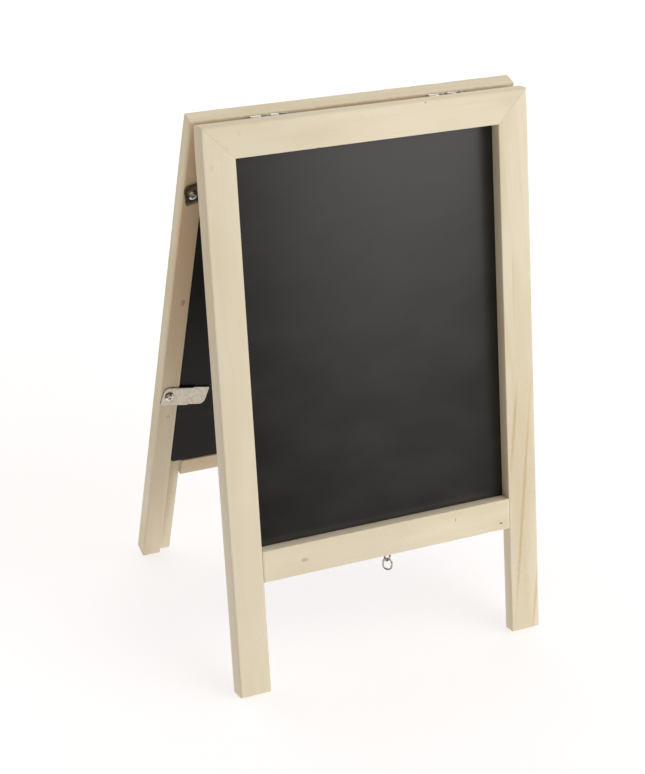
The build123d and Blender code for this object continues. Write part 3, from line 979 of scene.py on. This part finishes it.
def mitre_nails():
    """A V-shaped nail across the back of each mitre."""
    inset = STEP_ACROSS / 2
    a = math.radians(NAIL_SPREAD)
    reach = Vector((math.cos(a), math.sin(a))) * NAIL_LEG
    wide = Vector((-math.sin(a), math.cos(a))) * NAIL_THICK / 2
    inner = NAIL_THICK / 2 / math.sin(a)
    outline = [
        (-inner, 0),
        (reach.x - abs(wide.x), -reach.y - wide.y),
        (reach.x + abs(wide.x), -reach.y + wide.y),
        (inner, 0),
        (reach.x + abs(wide.x), reach.y - wide.y),
        (reach.x - abs(wide.x), reach.y + wide.y),
    ]
    for side in SIDES:
        low, high = folded_box(f"{side}_left_stile")
        for hand, sign in HANDS.items():
            bm = blank(outline, [], NAIL_DEEP + NAIL_PROUD, NAIL_EASE)
            bmesh.ops.translate(bm, verts=bm.verts, vec=(0, 0, -NAIL_DEEP))
            x = sign * (max(abs(low.x), abs(high.x)) - inset)
            place = off_wood(x, high.y, high.z - inset, math.radians(45 if sign < 0 else 135))
            name = f"{side}_{hand}_mitre_nail"
            piece = finish_mesh(bm, name, side, place, [STEEL["nail"]], sharp=30)
            fit(piece, f"{side}_frame", "screw_steel", f"{side}_corner_wedges")


def eye_path(shank_start):
    """The screw eye's wire in its own XZ plane, the loop's middle on the origin."""
    neck = Vector((0, EYE_RADIUS + EYE_NECK))
    path = [Vector((0, 0, shank_start)), Vector((0, 0, neck.y + EYE_LAP))]
    start, sweep = math.radians(EYE_START), math.radians(EYE_SWEEP)
    joined = Vector((math.cos(start), math.sin(start))) * EYE_RADIUS
    leave, arrive = Vector((0, -EYE_PULL)), Vector((-math.sin(start), math.cos(start))) * EYE_PULL
    # A smooth bend from the shank into the loop, then the loop.
    for k in range(13):
        t = k / 12
        p = neck * (2 * t**3 - 3 * t**2 + 1) + leave * (t**3 - 2 * t**2 + t)
        p += joined * (3 * t**2 - 2 * t**3) + arrive * (t**3 - t**2)
        path.append(Vector((p.x, 0, p.y)))
    for k in range(1, 61):
        a = start + sweep * k / 60
        path.append(Vector((EYE_RADIUS * math.cos(a), 0, EYE_RADIUS * math.sin(a))))
    return path


def screw_eye():
    """The screw eye under the front bottom rail, its thread up in the rail."""
    low, high = folded_box("screw_eye")
    points = [p for p in folded_points("screw_eye") if p.z < low.z + 2 * EYE_RADIUS]
    centre_z = low.z + EYE_RADIUS + EYE_WIRE
    thread_low = high.z - centre_z - EYE_THREAD
    bm = bmesh.new()
    threads(bm, EYE_WIRE * EYE_SWELL, EYE_THREAD, pitch=EYE_PITCH)
    for v in bm.verts:
        v.co = (v.co.x, -v.co.y, thread_low - v.co.z)

    def radius_at(share):
        narrowed = max(0.0, (share - (1 - EYE_TIP)) / EYE_TIP)
        return EYE_WIRE * (1 - EYE_TIP_CUT * narrowed**2)

    tube(bm, eye_path(thread_low + EYE_LAP), radius_at)
    place = Matrix.Translation(((low.x + high.x) / 2, (low.y + high.y) / 2, centre_z))
    place = place @ Matrix.Rotation(heading(points), 4, "Z")
    piece = finish_mesh(bm, "screw_eye_wire", "front", place, [STEEL["ring"]], sharp=50)
    fit(piece, "front_frame", "ring_steel", "screw_eye")


def oval_ring():
    """The ring that hangs in the screw eye, its two ends butted at the lower bend."""
    low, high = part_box("ring")
    half = RING_STRAIGHT / 2
    path = []
    for k in range(97):
        a = 2 * math.pi * k / 96 - math.radians(RING_ENDS)
        lift = half if math.sin(a) > 0 else -half
        path.append(Vector((RING_RADIUS * math.cos(a), 0, RING_RADIUS * math.sin(a) + lift)))
    path[-1] = path[-1] + (path[-2] - path[-1]).normalized() * RING_GAP
    bm = bmesh.new()
    tube(bm, path, lambda share: RING_WIRE)
    middle = (low + high) / 2
    middle.z = high.z - (half + RING_RADIUS + RING_WIRE) * MM
    turn = heading([v.co for v in frame["nodes"]["ring"].data.vertices])
    place = Matrix.Translation(middle) @ Matrix.Rotation(turn, 4, "Z")
    piece = finish_mesh(bm, "ring_wire", None, place @ Matrix.Scale(MM, 4), [STEEL["ring"]], sharp=50)
    fit(piece, "ring", "ring_steel", "ring")


def brad():
    """The small dark nail head near the right end of the front bottom rail."""
    low, high = folded_box("front_bottom_rail")
    x, y, r = BRAD_LONG / 2, BRAD_WIDE / 2, BRAD_CORNER
    bm = blank(rounded_outline([(-x, -y, r), (x, -y, r), (x, y, r), (-x, y, r)]), [], BRAD_THICK, BRAD_EASE)
    for v in bm.verts:
        v.co = (v.co.x, BRAD_THICK - BRAD_PROUD - v.co.z, v.co.y)
    place = Matrix.Translation((high.x - BRAD_FROM_END, low.y, low.z + BRAD_RISE))
    place = place @ Matrix.Rotation(math.radians(BRAD_TURN), 4, "Y")
    piece = finish_mesh(bm, "front_rail_brad", "front", place, [STEEL["nail"]])
    fit(piece, "front_frame", "screw_steel")


def dowels():
    """The rail dowels stay as the frame has them, in beech."""
    wood = beech("beech_dowel")
    for side in SIDES:
        data = frame["nodes"][f"{side}_rail_dowels"].data
        data.materials.clear()
        data.materials.append(wood)


# Each plating's pale and dull patches, roughness and scratches.
STEEL = {
    "clip": steel("clip_steel", rgb(200, 192, 176), rgb(184, 175, 158), 0.24),
    # Painted shade: a darker copy of the clip steel for the clip in the shadow between the frames.
    "shaded_clip": steel("clip_steel_shaded", rgb(140, 130, 112), rgb(104, 94, 78), 0.28),
    "screw": steel("screw_steel", rgb(250, 248, 243), rgb(238, 234, 225), 0.3),
    "front_hinge": steel("hinge_steel", rgb(244, 242, 236), rgb(214, 210, 200), 0.14, (0.2, 1.6, 1.6)),
    # Painted shade: a darker copy of the hinge steel for the rear leaves.
    "rear_hinge": steel("hinge_steel_shaded", rgb(190, 185, 176), rgb(96, 90, 80), 0.2, (0.2, 1.6, 1.6)),
    "ring": steel("ring_steel", rgb(190, 184, 171), rgb(140, 132, 117), 0.2),
    # Dark steel for the nails and the brad; on the hinge pins it is painted shade in the knuckle gaps.
    "nail": steel("nail_steel", rgb(96, 88, 78), rgb(70, 62, 54), 0.5),
}

wood_pieces()
boards()
clips()
clip_screws()
hinges()
hinge_pins()
mitre_nails()
screw_eye()
oval_ring()
brad()
dowels()


# Stage.

# An EDGE is where, along a direction's Y or Z, a light begins to change and where it has changed.
BACKGROUND = rgb(253, 251, 253)
BACKDROP_EDGE = (-0.2, 0.7)
BACK_LEVEL = 1.22
BACK_COLOUR = (1.0, 1.0, 0.99, 1.0)
HORIZON_EDGE = (-0.12, 0.04)
FRONT_LEVEL = 0.28
FRONT_HIGH_EDGE = (0.35, 0.8)
FRONT_HIGH = 0.26  # added high up in front
FRONT_COLOUR = (1.0, 0.9, 0.76, 1.0)
OVERHEAD_EDGE = (0.5, 0.95)
OVERHEAD_SHARE = 0.8
PANEL_AZIMUTH, PANEL_HEIGHT = 43.0, 18.5  # degrees, from straight ahead of the front frame
PANEL_EDGE = (0.83, 0.99)  # cosines of the angle from its middle
PANEL_STRETCH = 0.32  # how far it spreads sideways: 0 is round
PANEL_LEVEL = 2.75
KEY_PLACE, KEY_AIM = (0.75, -0.95, 1.3), (0, 0, 0.2)
KEY_SIZE, KEY_WATTS = 0.9, 1.1
KEY_COLOUR = (1.0, 0.99, 0.97)
FLOOR_GLOW = 0.64
FLOOR_NEAR, FLOOR_FAR = 0.3, 6.0
CAMERA_PLACE = (-0.599514, -1.18468, 0.90682)
CAMERA_YAW, CAMERA_PITCH, CAMERA_ROLL = 26.112, 28.473, 2.767  # degrees
CAMERA_LENS = 90.162465  # millimetres


def make_camera():
    yaw, pitch, roll = (math.radians(a) for a in (CAMERA_YAW, CAMERA_PITCH, CAMERA_ROLL))
    ahead = Vector((math.sin(yaw) * math.cos(pitch), math.cos(yaw) * math.cos(pitch), -math.sin(pitch)))
    right = Vector((math.cos(yaw), -math.sin(yaw), 0))
    up = right.cross(ahead)
    tilted_right = right * math.cos(roll) + up * math.sin(roll)
    tilted_up = up * math.cos(roll) - right * math.sin(roll)
    camera = bpy.data.objects.new("camera", bpy.data.cameras.new("camera"))
    camera.data.lens = CAMERA_LENS
    turn = Matrix((tilted_right, tilted_up, -ahead)).transposed().to_4x4()
    camera.matrix_world = Matrix.Translation(CAMERA_PLACE) @ turn
    bpy.context.scene.collection.objects.link(camera)
    bpy.context.scene.camera = camera


def make_key_light():
    data = bpy.data.lights.new("key_light", "AREA")
    data.shape, data.size, data.energy, data.color = "DISK", KEY_SIZE, KEY_WATTS, KEY_COLOUR
    lamp = bpy.data.objects.new("key_light", data)
    lamp.location = KEY_PLACE
    lamp.rotation_mode = "QUATERNION"
    lamp.rotation_quaternion = (Vector(KEY_AIM) - Vector(KEY_PLACE)).to_track_quat("-Z", "Y")
    bpy.context.scene.collection.objects.link(lamp)


def panel_glow(tree, toward):
    """The soft panel's light in a direction."""
    azimuth, height = math.radians(PANEL_AZIMUTH), math.radians(PANEL_HEIGHT)
    middle = (math.sin(azimuth) * math.cos(height), -math.cos(azimuth) * math.cos(height), math.sin(height))
    across = (math.cos(azimuth), math.sin(azimuth), 0.0)
    near = vector_node(tree, "DOT_PRODUCT", toward, middle)
    offset = vector_node(tree, "DOT_PRODUCT", toward, across)
    facing = math_node(tree, "GREATER_THAN", near, 0.0)
    widened = math_node(tree, "MULTIPLY", math_node(tree, "MULTIPLY", offset, offset), PANEL_STRETCH)
    near = math_node(tree, "ADD", near, math_node(tree, "MULTIPLY", widened, facing))
    return range_node(tree, near, *PANEL_EDGE, 0.0, PANEL_LEVEL)


def make_world():
    """A bright backdrop behind, a dim warm room in front and a wide soft panel low at the front right."""
    world = bpy.data.worlds.new("studio")
    world.use_nodes = True
    tree = world.node_tree
    tree.nodes.clear()
    ray = node(tree, "LightPath")
    toward = node(tree, "TexCoord").outputs["Generated"]
    axes = node(tree, "SeparateXYZ", {0: toward}).outputs
    behind = range_node(tree, axes[1], *BACKDROP_EDGE)
    above = range_node(tree, axes[2], *HORIZON_EDGE)
    glow = panel_glow(tree, toward)
    front = range_node(tree, axes[2], *FRONT_HIGH_EDGE, FRONT_LEVEL, FRONT_LEVEL + FRONT_HIGH)
    level = range_node(tree, behind, 0.0, 1.0, front, BACK_LEVEL)
    level = math_node(tree, "MULTIPLY", math_node(tree, "ADD", level, glow), above)
    level = math_node(tree, "MULTIPLY", level, range_node(tree, axes[2], *OVERHEAD_EDGE, 1.0, OVERHEAD_SHARE))
    white = math_node(tree, "MAXIMUM", behind, math_node(tree, "MINIMUM", glow, 1.0))
    colour = mix_node(tree, white, FRONT_COLOUR, BACK_COLOUR)
    dome = node(tree, "Background", {"Color": colour, "Strength": level})
    plain = node(tree, "Background", {"Color": BACKGROUND, "Strength": 1.0})
    both = node(tree, "MixShader", {0: ray.outputs["Is Camera Ray"], 1: dome.outputs[0], 2: plain.outputs[0]})
    output = node(tree, "OutputWorld")
    tree.links.new(both.outputs[0], output.inputs[0])
    bpy.context.scene.world = world


def floor_paper():
    """Pale grey matt paper, softly lit from within so that the floor stays even."""
    material, tree, shader = new_material("floor_paper")
    where = millimetres(tree)
    grey = noise_node(tree, where, 0.01, 2)
    colour = mix_node(tree, grey, rgb(180, 178, 179), rgb(184, 182, 183))
    tree.links.new(colour, shader.inputs["Base Color"])
    shader.inputs["Roughness"].default_value = 0.8
    shader.inputs["Specular IOR Level"].default_value = 0.1
    shader.inputs["Emission Color"].default_value = (1.0, 0.99, 1.0, 1.0)
    shader.inputs["Emission Strength"].default_value = FLOOR_GLOW
    return material


def floor_rim(bm, radius):
    return [bm.verts.new((x, y, 0.0)) for x, y in circle((0, 0), radius, 144)]


def make_floor():
    """A disc of floor round the feet and a wide ring beyond it, which shiny pieces don't mirror."""
    near, far = bmesh.new(), bmesh.new()
    near.faces.new(floor_rim(near, FLOOR_NEAR))
    inner, outer = floor_rim(far, FLOOR_NEAR), floor_rim(far, FLOOR_FAR)
    for i in range(len(inner)):
        j = (i + 1) % len(inner)
        far.faces.new((inner[i], outer[i], outer[j], inner[j]))
    paper = floor_paper()
    for name, bm in (("floor_near", near), ("floor_far", far)):
        floor = finish_mesh(bm, name, None, AS_DRAWN, [paper])
        floor.visible_glossy = name == "floor_near"


make_camera()
make_world()
make_floor()
make_key_light()
bpy.context.scene.view_settings.view_transform = "Standard"
